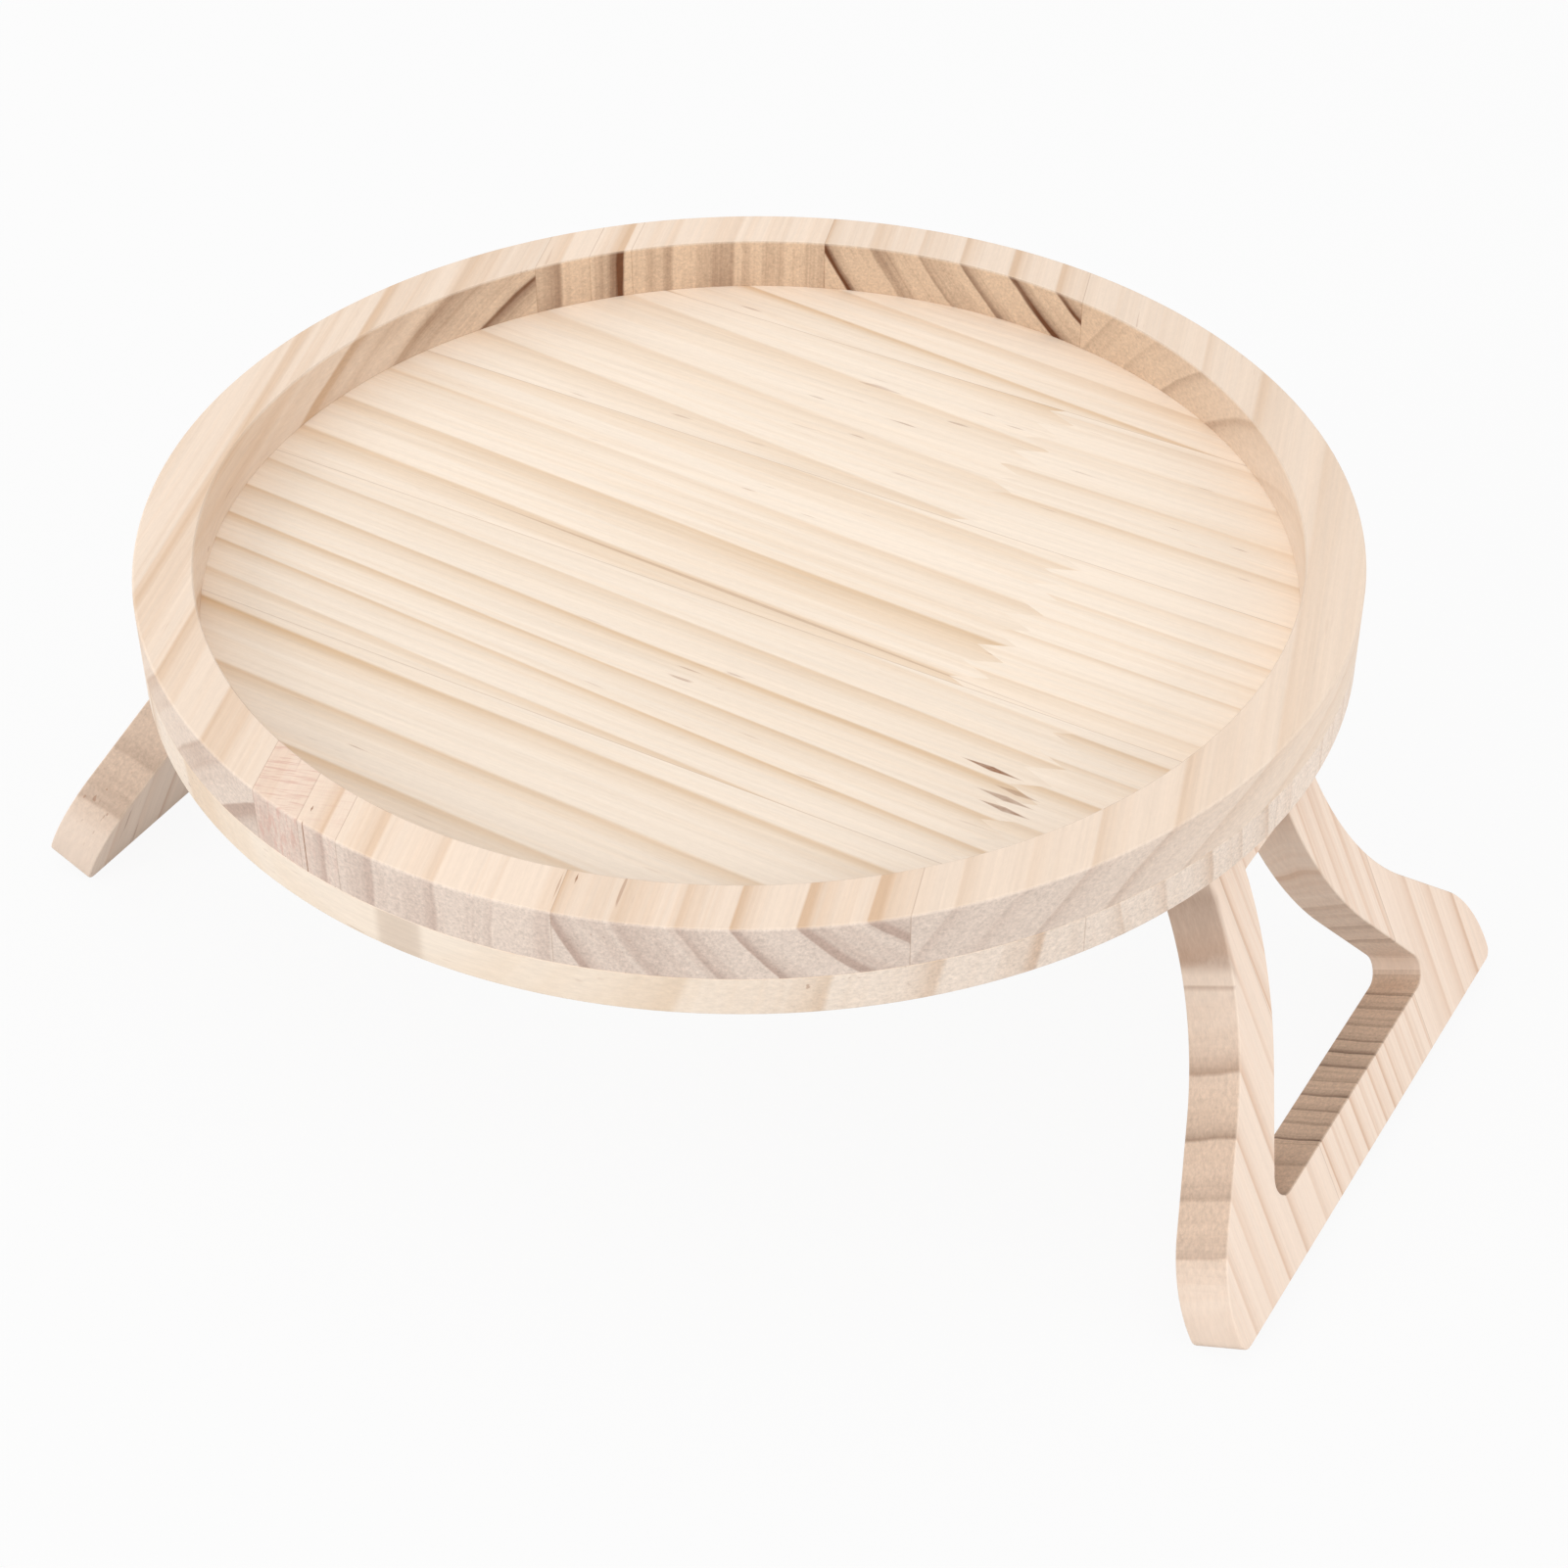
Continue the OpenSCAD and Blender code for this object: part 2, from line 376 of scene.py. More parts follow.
@dataclass(frozen=True)
class PineScales:
    """How fast each part of the pine's figure varies across, through and along it, per metre."""

    bow: Triple = (9, 9, 2.4)
    ripple: Triple = (60, 60, 7)
    gust: Triple = (16, 16, 6)
    broad: Triple = (34, 34, 2.5)
    fibre: Triple = (900, 900, 16)
    dash: Triple = (750, 750, 55)
    grove: Triple = (45, 45, 9)
    pores: Triple = (1500, 1500, 420)
    saw_marks: Triple = (160, 160, 1900)
    bow_height: float = 0.006
    ripple_height: float = 0.0016


def pine_figure(scales: PineScales) -> bpy.types.NodeTree:
    """Builds the figure of pine as a solid: growth rings round a pith, fibres, flecks and pores.

    Places are in metres in the board's own directions: X across it, Y through its thickness
    and Z along the grain.

    Args:
        scales: How fast the parts of the figure vary.

    Returns:
        The node group.
    """
    inputs = {"Place": "Vector", "Pith": "Vector"}
    inputs.update(dict.fromkeys(("Spacing", "Drift", "Jitter", "Seed"), "Float"))
    g = Group("pine_figure", inputs, dict.fromkeys(FIGURE_PARTS, "Float"))
    seed = g.take("Seed")
    feeds = {0: (0.37, 0.23, 0.61), 3: seed}
    apart = g.add("ShaderNodeVectorMath", feeds, operation="SCALE").outputs[0]
    feeds = {0: g.take("Place"), 1: apart}
    place = g.add("ShaderNodeVectorMath", feeds, operation="ADD").outputs[0]
    bow = g.math("SUBTRACT", g.cloud(g.scaled(place, *scales.bow)), 0.5)
    ripple = g.math("SUBTRACT", g.cloud(g.scaled(place, *scales.ripple)), 0.5)
    wave = g.math("MULTIPLY", ripple, scales.ripple_height)
    wave = g.math("ADD", g.math("MULTIPLY", bow, scales.bow_height), wave)
    across, through, along = g.split(g.take("Place"))
    pith_x, pith_y, _ = g.split(g.take("Pith"))
    lean = g.math("MULTIPLY", along, g.take("Drift"))
    run = g.math("SUBTRACT", g.math("SUBTRACT", across, pith_x), lean)
    rise = g.math("SUBTRACT", through, pith_y)
    years = g.math("DIVIDE", g.math("ADD", g.length(run, rise), wave), g.take("Spacing"))
    year_place = g.add("ShaderNodeCombineXYZ", {0: years, 1: seed, 2: 0.5}).outputs[0]
    uneven = g.math("SUBTRACT", g.cloud(g.scaled(year_place, 0.55, 3.1, 1), 0.0), 0.5)
    years = g.math("ADD", years, g.math("MULTIPLY", uneven, g.take("Jitter")))
    season = g.math("FRACT", years)
    year = g.math("ADD", g.math("FLOOR", years), g.math("MULTIPLY", seed, 7.7))
    luck = g.add("ShaderNodeTexWhiteNoise", {"W": year}, noise_dimensions="1D").outputs["Value"]
    soft = g.math("POWER", season, g.math("MULTIPLY_ADD", luck, 2.2, 1.6))
    crisp = g.math("MULTIPLY", g.ease(season, 0.74, 0.92), 0.16)
    fall = g.ease(season, 0.925, 1.0, 1.0, 0.0)
    gust = g.math("MULTIPLY_ADD", g.cloud(g.scaled(place, *scales.gust)), 1.6, 0.2)
    strength = g.math("MULTIPLY", g.math("MULTIPLY_ADD", luck, 0.8, 0.25), gust)
    rising = g.math("MULTIPLY_ADD", soft, 0.8, crisp)
    late = g.math("MULTIPLY", g.math("MULTIPLY", rising, fall), strength)
    broad = g.math("SUBTRACT", g.cloud(g.scaled(place, *scales.broad)), 0.5)
    late = g.math("MULTIPLY_ADD", broad, 0.5, late)
    line_place = g.add("ShaderNodeCombineXYZ", {0: years, 1: seed, 2: along}).outputs[0]
    line = g.cloud(g.scaled(line_place, 5.0, 3.0, 4.0), 4.0, 0.62)
    fibre = g.cloud(g.scaled(place, *scales.fibre), 3.0, 0.6)
    dash = g.ease(g.cloud(g.scaled(place, *scales.dash), 1.0), 0.70, 0.78)
    grove = g.ease(g.cloud(g.scaled(place, *scales.grove), 1.0), 0.48, 0.66)
    fleck = g.math("MULTIPLY", dash, grove)
    pores = g.cloud(g.scaled(place, *scales.pores), 2.0, 0.7)
    saw = g.cloud(g.scaled(place, *scales.saw_marks), 2.0, 0.6)
    return g.give(dict(zip(FIGURE_PARTS, (late, line, fibre, fleck, pores, saw))))


@dataclass(frozen=True)
class PineMarks:
    """The colours of what marks a pine surface, and of the painted highlight on its eased edges.
    """

    blush: Paint = (212, 164, 148)
    fleck: Paint = (150, 100, 70)
    # Colour of the dark streaks: pitch, and on the legs' necks partly painted shade.
    pitch: Paint = (144, 95, 60)
    glue: Paint = (150, 112, 82)
    # Colour of the painted highlight on eased pine edges; on plated steel the worn edge colour.
    rubbed_edge: Paint = (250, 234, 216)


def pine_tint(marks: PineMarks) -> bpy.types.NodeTree:
    """Builds the colour, roughness and relief of sanded pine from its figure.

    Args:
        marks: The colours of the marks on it and of the painted highlight on its eased edges.

    Returns:
        The node group.
    """
    masks = ("Stain", "Blush", "End Grain", "Edge", "Glue Line", "Tone", "Contrast")
    inputs = dict.fromkeys((*FIGURE_PARTS, *masks), "Float")
    paints = ("Early Colour", "Late Colour", "End Early Colour", "End Late Colour")
    inputs.update(dict.fromkeys(paints, "Color"))
    g = Group("pine_tint", inputs, SURFACE_PARTS)
    streak = g.math("MULTIPLY", g.math("SUBTRACT", g.take("Line"), 0.48), 0.75)
    late = g.math("MULTIPLY", g.math("ADD", g.take("Late Wood"), streak), g.take("Contrast"))
    late = g.math("MAXIMUM", g.math("MINIMUM", late, 1.0), 0.0)
    end = g.ease(g.take("End Grain"), 0.25, 0.92)
    side_colour = g.blend(late, g.take("Early Colour"), g.take("Late Colour"))
    end_colour = g.blend(late, g.take("End Early Colour"), g.take("End Late Colour"))
    colour = g.blend(end, side_colour, end_colour)
    mottle = g.math("SUBTRACT", g.take("Fibre"), 0.5)
    grey = g.math("MULTIPLY_ADD", mottle, g.math("MULTIPLY_ADD", end, 0.22, 0.20), 1.0)
    grey = g.math("MULTIPLY", grey, g.math("MULTIPLY_ADD", g.take("Line"), 0.06, 0.97))
    speck = g.math("SUBTRACT", g.take("Pores"), 0.5)
    speck = g.math("MULTIPLY", speck, g.math("MULTIPLY_ADD", end, 0.45, 0.10))
    grey = g.math("MULTIPLY", g.math("ADD", grey, speck), g.take("Tone"))
    tones = g.add("ShaderNodeCombineColor", {0: grey, 1: grey, 2: grey}).outputs[0]
    colour = g.blend(1.0, colour, tones, "MULTIPLY")
    ridge = g.ease(g.take("Saw Marks"), 0.46, 0.68, 0.25, 1.0)
    colour = g.blend(g.math("MULTIPLY", g.take("Blush"), ridge), colour, shade(*marks.blush))
    colour = g.blend(g.math("MULTIPLY", g.take("Fleck"), 0.45), colour, shade(*marks.fleck))
    # Dark streaks: pitch, and on the legs' necks partly painted shade under the tray.
    stain = g.math("MULTIPLY", g.take("Stain"), g.math("MULTIPLY_ADD", g.take("Pores"), 0.9, 0.5))
    colour = g.blend(stain, colour, shade(*marks.pitch))
    colour = g.blend(g.math("MULTIPLY", g.take("Glue Line"), 0.3), colour, shade(*marks.glue))
    # Painted highlight: the eased edges are lightened toward a pale colour.
    colour = g.blend(g.math("MULTIPLY", g.take("Edge"), 0.1), colour, shade(*marks.rubbed_edge))
    rough = g.math("MULTIPLY_ADD", g.take("Pores"), 0.16, 0.50)
    rough = g.math("MULTIPLY_ADD", end, 0.12, rough)
    rough = g.math("MULTIPLY_ADD", late, -0.08, rough)
    height = g.math("MULTIPLY_ADD", late, 0.02, g.math("MULTIPLY", g.take("Fibre"), 0.5))
    height = g.math("MULTIPLY_ADD", g.take("Fleck"), -0.6, height)
    height = g.math("MULTIPLY_ADD", g.take("Glue Line"), -0.8, height)
    height = g.math("MULTIPLY_ADD", g.take("Pores"), 0.5, height)
    return g.give({"Colour": colour, "Roughness": rough, "Height": height})


@dataclass(frozen=True)
class Plating:
    """How fast the bloom and the rolling marks of plating vary, per metre, and its worn colour."""

    bloom: Triple = (260, 260, 260)
    rolling: Triple = (9000, 500, 9000)
    rubbed_edge: Paint = (226, 226, 224)


def plated_metal(plating: Plating) -> bpy.types.NodeTree:
    """Builds the finish of plated steel: cloudy plating, rolling marks and rubbed edges.

    Args:
        plating: The scales and the colour of the plating.

    Returns:
        The node group.
    """
    inputs = {"Place": "Vector", "Edge": "Float", "Bright Colour": "Color", "Dull Colour": "Color"}
    g = Group("plated_metal", inputs, SURFACE_PARTS)
    bloom = g.cloud(g.scaled(g.take("Place"), *plating.bloom), 4.0, 0.6)
    marks = g.cloud(g.scaled(g.take("Place"), *plating.rolling), 2.0)
    colour = g.blend(g.ease(bloom, 0.35, 0.7), g.take("Dull Colour"), g.take("Bright Colour"))
    colour = g.blend(g.math("MULTIPLY", g.take("Edge"), 0.6), colour, shade(*plating.rubbed_edge))
    rough = g.math("MULTIPLY_ADD", bloom, 0.2, 0.22)
    rough = g.math("MULTIPLY_ADD", marks, 0.08, rough)
    height = g.math("MULTIPLY_ADD", bloom, 0.4, g.math("MULTIPLY", marks, 0.4))
    return g.give({"Colour": colour, "Roughness": rough, "Height": height})


@dataclass(frozen=True)
class Timber:
    """One piece of sawn pine in a glued-up board, with its pith and growth rings.

    The pith is its place across and through the board and the spacing that of the growth
    rings, both in metres. The drift is how far the grain leans across for each metre along.
    Tone, jitter, contrast and blush say how light, how uneven, how striped and how red it is.
    """

    pith: tuple[float, float]
    spacing: float
    drift: float = 0.0
    tone: float = 1.0
    jitter: float = 0.6
    contrast: float = 1.0
    seed: float = 1.0
    blush: float = 0.0

    @property
    def vectors(self) -> tuple[Triple, ...]:
        """Its numbers in threes, as the nodes carry them."""
        return (
            (self.pith[0], self.pith[1], self.spacing),
            (self.drift, self.tone, self.jitter),
            (self.contrast, self.seed, self.blush),
        )


@dataclass(frozen=True)
class Stave:
    """A strip of a board: where it starts across the board, and the timbers joined along it."""

    start: float
    first: Timber
    second: Timber | None = None
    joint: float = 0.0


@dataclass(frozen=True)
class Streak:
    """A dark streak that lies along the grain, by its middle and its half sizes: pitch, and on a
    leg's neck partly painted shade.
    """

    across: float
    along: float
    half_width: float
    half_length: float
    strength: float = 0.6
    drift: float = -0.05


@dataclass(frozen=True)
class PineColours:
    """The four colours of a pine surface, along the grain and on the end grain."""

    early: Paint
    late: Paint
    end_early: Paint
    end_late: Paint


@dataclass(frozen=True)
class PineFinish:
    """Bare sanded pine, glued up from staves whose ends are finger-jointed."""

    name: str
    staves: tuple[Stave, ...]
    colours: PineColours
    turn: Matrix
    origin: Triple = (0.0, 0.0, 0.0)
    finger_pitch: float = 0.0072
    finger_length: float = 0.009
    glue_half: float = 0.00004
    glue_fade: float = 0.0002
    relief: float = 0.00006
    relief_strength: float = 0.6
    shine: float = 0.35
    streaks: tuple[Streak, ...] = ()

    def stain(self, g: Graph, across: Socket, along: Socket) -> Feed:
        """The dark streaks, as a mask: pitch, and on a leg's neck partly painted shade.

        Args:
            g: The material's graph.
            across: The place across the board.
            along: The place along the board.

        Returns:
            How dark the streaks are at the place, from 0 to 1.
        """
        mask: Feed = 0.0
        for streak in self.streaks:
            run = g.math("DIVIDE", g.math("SUBTRACT", along, streak.along), streak.half_length)
            lean = g.math("MULTIPLY_ADD", run, -streak.drift * streak.half_length, across)
            side = g.math("DIVIDE", g.math("SUBTRACT", lean, streak.across), streak.half_width)
            reach = g.math("ADD", g.math("ABSOLUTE", run), g.math("ABSOLUTE", side))
            mask = g.math("MAXIMUM", mask, g.ease(reach, 0.55, 1.0, streak.strength, 0.0))
        return mask

    def joint_mask(self, g: Graph, across: Socket, along: Socket, joint: float) -> Socket:
        """Tells the timber before a finger joint from the timber after it.

        Args:
            g: The material's graph.
            across: The place across the board.
            along: The place along the board.
            joint: Where the joint is along the board.

        Returns:
            0 before the joint and 1 after it.
        """
        half = self.finger_pitch / 2
        tooth = g.math("DIVIDE", g.math("PINGPONG", across, half), half)
        reach = g.math("MULTIPLY_ADD", tooth, self.finger_length, joint - self.finger_length / 2)
        return g.math("GREATER_THAN", along, reach)

    def timber(self, g: Graph, across: Socket, along: Socket) -> tuple[list[Feed], Socket]:
        """Finds the timber at a place, and how far off the nearest glue line is.

        Args:
            g: The material's graph.
            across: The place across the board.
            along: The place along the board.

        Returns:
            The timber's numbers in threes, and the distance to the glue line.
        """
        chosen: list[Feed] = list(self.staves[0].first.vectors)
        glue: Feed = 1.0
        for stave in self.staves:
            numbers: list[Feed] = list(stave.first.vectors)
            if stave.second:
                mask = self.joint_mask(g, across, along, stave.joint)
                pairs = zip(stave.first.vectors, stave.second.vectors)
                numbers = [g.choose(mask, before, after) for before, after in pairs]
            beyond = g.math("GREATER_THAN", across, stave.start)
            chosen = [g.choose(beyond, old, new) for old, new in zip(chosen, numbers)]
            distance = g.math("ABSOLUTE", g.math("SUBTRACT", across, stave.start))
            glue = g.math("MINIMUM", glue, distance)
        return chosen, glue

    def end_colours(self, g: Graph, seen: Socket) -> tuple[Feed, Feed]:
        """The early and late colours of the end grain."""
        return shade(*self.colours.end_early), shade(*self.colours.end_late)

    def weathered(self, g: Graph, seen: Socket, tone: Socket) -> Socket:
        """The tone of the timber with any painted shade; plain pine keeps its tone."""
        return tone

    def material(self) -> bpy.types.Material:
        """Builds the material.

        Returns:
            The material, with the figure and the tint of pine in it.
        """
        made = bpy.data.materials.new(self.name)
        made.use_nodes = True
        g = Graph(made.node_tree)
        seen = g.add("ShaderNodeTexCoord", {}).outputs["Object"]
        feeds = {"Vector": seen, "Location": self.origin, "Rotation": tuple(self.turn.to_euler())}
        place = g.add("ShaderNodeMapping", feeds, vector_type="TEXTURE").outputs[0]
        across, _, along = g.split(place)
        chosen, glue = self.timber(g, across, along)
        pith_x, pith_y, spacing = g.split(chosen[0])
        drift, tone, jitter = g.split(chosen[1])
        contrast, seed, blush = g.split(chosen[2])
        pith = g.add("ShaderNodeCombineXYZ", {0: pith_x, 1: pith_y}).outputs[0]
        feeds = {"Place": place, "Pith": pith, "Spacing": spacing, "Drift": drift}
        feeds.update({"Jitter": jitter, "Seed": seed})
        figure_group = bpy.data.node_groups["pine_figure"]
        figure = g.add("ShaderNodeGroup", feeds, node_tree=figure_group)
        feeds = {output.name: output for output in figure.outputs}
        for key, name in (("End Grain", "end_grain"), ("Edge", "eased_edge")):
            feeds[key] = g.add("ShaderNodeAttribute", {}, attribute_name=name).outputs["Fac"]
        feeds["Glue Line"] = g.ease(glue, self.glue_half, self.glue_fade, 1.0, 0.0)
        # A finish may paint shade into the tone here; the ring darkens its inner wall with painted
        # shade.
        feeds["Tone"] = self.weathered(g, seen, tone)
        feeds.update({"Contrast": contrast, "Blush": blush})
        if self.streaks:
            feeds["Stain"] = self.stain(g, across, along)
        feeds["Early Colour"] = shade(*self.colours.early)
        feeds["Late Colour"] = shade(*self.colours.late)
        feeds["End Early Colour"], feeds["End Late Colour"] = self.end_colours(g, seen)
        tint = g.add("ShaderNodeGroup", feeds, node_tree=bpy.data.node_groups["pine_tint"])
        g.surface(tint, self.relief, self.relief_strength)
        shader = g.tree.nodes["Principled BSDF"]
        shader.inputs["Specular IOR Level"].default_value = self.shine
        return made


@dataclass(frozen=True)
class RingFinish(PineFinish):
    """The pine of the rim ring, its outer wall greyer than the rest, partly as painted cool bounce
    light, and its inner wall darker with painted shade.
    """

    # Greyer end-grain colours of the outer wall: partly the greyer end grain, partly painted cool
    # bounce light from the floor.
    wall_early: Paint = (230, 212, 198)
    wall_late: Paint = (194, 169, 155)
    wall_radius: float = 0.1427
    bore_radius: float = 0.1358
    # How much painted shade darkens the inner wall of the ring.
    bore_shade: float = 0.13

    def radius(self, g: Graph, seen: Socket) -> Socket:
        """The distance of a place from the middle of the tray."""
        x, y, _ = g.split(seen)
        return g.length(x, y)

    def end_colours(self, g: Graph, seen: Socket) -> tuple[Feed, Feed]:
        """The colours of the end grain, which are other, greyer ones on the outer wall, partly as
        painted cool bounce light.

        Args:
            g: The material's graph.
            seen: The place on the ring.

        Returns:
            The early and the late colour.
        """
        outer = g.math("GREATER_THAN", self.radius(g, seen), self.wall_radius)
        early, late = super().end_colours(g, seen)
        early = g.blend(outer, early, shade(*self.wall_early))
        return early, g.blend(outer, late, shade(*self.wall_late))

    def weathered(self, g: Graph, seen: Socket, tone: Socket) -> Socket:
        """The tone of the timber, with painted shade darkening the inner wall."""
        # Painted shade: the tone is lowered inside the bore radius.
        inner = g.math("LESS_THAN", self.radius(g, seen), self.bore_radius)
        return g.math("MULTIPLY", tone, g.math("MULTIPLY_ADD", inner, -self.bore_shade, 1.0))


@dataclass(frozen=True)
class MetalFinish:
    """Plated steel, dulled by handling."""

    name: str
    bright: Paint
    dull: Paint
    relief: float = 0.00002
    relief_strength: float = 0.5

    def material(self) -> bpy.types.Material:
        """Builds the material.

        Returns:
            The material, with the plated metal in it.
        """
        made = bpy.data.materials.new(self.name)
        made.use_nodes = True
        g = Graph(made.node_tree)
        feeds = {
            "Place": g.add("ShaderNodeTexCoord", {}).outputs["Object"],
            "Edge": g.add("ShaderNodeAttribute", {}, attribute_name="eased_edge").outputs["Fac"],
            "Bright Colour": shade(*self.bright),
            "Dull Colour": shade(*self.dull),
        }
        metal = g.add("ShaderNodeGroup", feeds, node_tree=bpy.data.node_groups["plated_metal"])
        g.surface(metal, self.relief, self.relief_strength)
        g.tree.nodes["Principled BSDF"].inputs["Metallic"].default_value = 1.0
        return made


RING_ANGLE = math.radians(18)
RING_TURN = Matrix.Rotation(RING_ANGLE, 3, "Z") @ Matrix.Rotation(math.pi / 2, 3, "X")
BOARD_TURN = Matrix(((0, 0, 1), (1, 0, 0), (0, 1, 0)))
GRAIN = Vector((0, 0, 1))
MID_RING = 0.1238
MID_BOARD = 0.1115

BOARD_PINE = PineFinish(
    name="board_pine",
    staves=(
        Stave(-0.150, Timber((-0.4482, 0.05), 0.0177, -0.035, 0.965, 0.4, 0.8, 3.0)),
        Stave(
            -0.0755,
            Timber((-0.3672, 0.02), 0.0114, -0.052, 0.97, 0.5, 0.75, 5.0),
            Timber((-0.30, -0.05), 0.012, -0.02, 0.965, 0.8, 0.7, 6.0),
            0.099,
        ),
        Stave(
            -0.0165,
            Timber((-0.4905, 0.03), 0.0178, -0.046, 1.0, 0.15, 1.05, 8.0),
            Timber((-0.35, -0.03), 0.0095, -0.012, 1.01, 0.7, 0.6, 9.0),
            0.068,
        ),
        Stave(
            0.0432,
            Timber((-0.31, -0.08), 0.0185, -0.088, 1.0, 0.7, 0.7, 11.0),
            Timber((-0.21, 0.1), 0.013, -0.01, 0.995, 0.9, 0.6, 12.0),
            0.037,
        ),
        Stave(0.1025, Timber((-0.2, 0.06), 0.015, -0.09, 1.0, 0.7, 0.7, 14.0)),
    ),
    colours=PineColours((251, 235, 217), (214, 173, 122), (240, 223, 208), (206, 173, 146)),
    turn=BOARD_TURN,
    origin=(0.0, 0.0, MID_BOARD),
    streaks=(
        Streak(-0.0405, 0.0885, 0.0010, 0.0095, 0.90),
        Streak(-0.0455, 0.0975, 0.0010, 0.0070, 0.45),
        Streak(-0.0485, 0.0960, 0.0011, 0.0090, 0.60),
        Streak(-0.0520, 0.0975, 0.0010, 0.0080, 0.70),
        Streak(-0.0120, 0.0020, 0.0007, 0.1250, 0.3, -0.041),
    ),
)
RING_PINE = RingFinish(
    name="ring_pine",
    staves=(
        Stave(-0.170, Timber((-0.047, -0.052), 0.0135, 0.0, 0.955, 0.4, 2.2, 21.0)),
        Stave(
            -0.0845,
            Timber((-0.60, 0.01), 0.0145, 0.0, 0.99, 0.5, 1.7, 23.0),
            Timber((-0.60, 0.01), 0.0145, 0.0, 0.985, 0.5, 0.8, 23.0, 0.6),
            0.0,
        ),
        Stave(
            -0.0715,
            Timber((-0.60, 0.01), 0.0145, 0.0, 0.99, 0.5, 1.7, 23.0),
            Timber((-0.60, 0.01), 0.0145, 0.0, 0.99, 0.5, 0.9, 23.0, 0.2),
            0.0,
        ),
        Stave(-0.0610, Timber((-0.60, 0.01), 0.0145, 0.0, 0.99, 0.5, 1.7, 23.0)),
        Stave(-0.0092, Timber((0.120, 0.068), 0.0110, 0.0, 0.955, 0.6, 1.6, 25.0)),
        Stave(0.0654, Timber((0.190, -0.075), 0.0110, 0.0, 0.94, 0.5, 0.7, 27.0)),
    ),
    colours=PineColours((247, 226, 206), (225, 191, 159), (233, 204, 175), (110, 64, 34)),
    turn=RING_TURN,
    origin=(0.0, 0.0, MID_RING),
    streaks=(
        Streak(-0.0700, 0.1330, 0.0003, 0.0016, 0.8, 0.0),
        Streak(-0.0694, 0.1275, 0.0003, 0.0014, 0.8, 0.0),
        Streak(-0.0066, 0.1380, 0.0003, 0.0022, 0.8, 0.0),
        Streak(-0.0098, 0.1410, 0.0003, 0.0060, 0.4, 0.0),
    ),
)


def leg_pine(side: Side, place: Matrix) -> PineFinish:
    """The finish of a leg, its grain running up the leg.

    Args:
        side: The leg's side.
        place: The turn and shift from the leg's board into the frame.

    Returns:
        The finish, in the leg's own directions.
    """
    axes = place.to_3x3()
    across, up = axes @ Vector((1, 0, 0)), axes @ Vector((0, 1, 0))
    turn = Matrix((across, up.cross(across), up)).transposed()
    tone = 0.98 if side is Side.RIGHT else 0.88
    return PineFinish(
        name=f"{side.word}_leg_pine",
        staves=(
            Stave(-0.10, Timber((0.45, 0.03), 0.0105, 0.01, tone, 0.6, 0.8, 31.0 + side.value)),
            Stave(-0.0235, Timber((0.5, -0.02), 0.0058, -0.02, tone, 0.9, 1.2, 33.0 + side.value)),
            Stave(0.038, Timber((-0.40, 0.03), 0.0105, 0.0, tone, 0.8, 0.8, 35.0 + side.value)),
        ),
        colours=PineColours((248, 227, 209), (212, 170, 138), (218, 190, 167), (84, 52, 33)),
        turn=turn,
        origin=tuple(place.translation),
        streaks=(
            # The first streak darkens the top of the leg's edge by the neck: partly darker wood,
            # partly painted shade under the tray.
            Streak(-0.0310, 0.0930, 0.0050, 0.0260, 0.45, 0.0),
            Streak(-0.0345, 0.0715, 0.0026, 0.0020, 0.35, 0.0),
        ),
    )


@dataclass
class RoundTray:
    """The base board and the rim ring glued on it."""

    radius: float = 0.150
    rim_width: float = 0.0146
    ring_height: float = 0.0142
    base_thickness: float = 0.0104
    underside: float = 0.1063
    arris: float = 0.0006
    seam: float = 0.00015
    steps: int = 192

    @property
    def floor(self) -> float:
        """Height of the floor of the tray."""
        return self.underside + self.base_thickness

    @property
    def brim(self) -> float:
        """Height of the top of the rim."""
        return self.floor + self.ring_height

    def round_wood(self, inner: float, bottom: float, top: float) -> bmesh.types.BMesh:
        """Turns a round or a ring with square edges."""
        corners = [(inner, bottom), (self.radius, bottom), (self.radius, top), (inner, top)]
        return turned(corners, self.steps)

    def base_board(self) -> bpy.types.Object:
        """Turns the base board, its lower edge rounded over and its upper one eased at the glue.

        Returns:
            The board.
        """
        bm = self.round_wood(0.0, self.underside, self.floor)
        ease(bm, edges_at(bm, self.underside), self.arris, Sawn.EASED)
        ease(bm, edges_at(bm, self.floor), self.seam, Sawn.CRISP)
        return new_piece(bm, "base_board", BOARD_TURN @ GRAIN)

    def rim_ring(self) -> bpy.types.Object:
        """Turns the rim ring, its top edges rounded over and its foot eased at the glue.

        Returns:
            The ring.
        """
        bm = self.round_wood(self.radius - self.rim_width, self.floor, self.brim)
        ease(bm, edges_at(bm, self.brim), self.arris, Sawn.EASED)
        ease(bm, edges_at(bm, self.floor), self.seam, Sawn.CRISP)
        return new_piece(bm, "rim_ring", RING_TURN @ GRAIN)

    def build(self, board: bpy.types.Material, rim: bpy.types.Material) -> None:
        """Makes and dresses both rounds of wood.

        Args:
            board: The finish of the base board.
            rim: The finish of the ring.
        """
        dress(self.base_board(), board, "tray", "tray_base_board")
        dress(self.rim_ring(), rim, "tray", "tray_rim_ring")


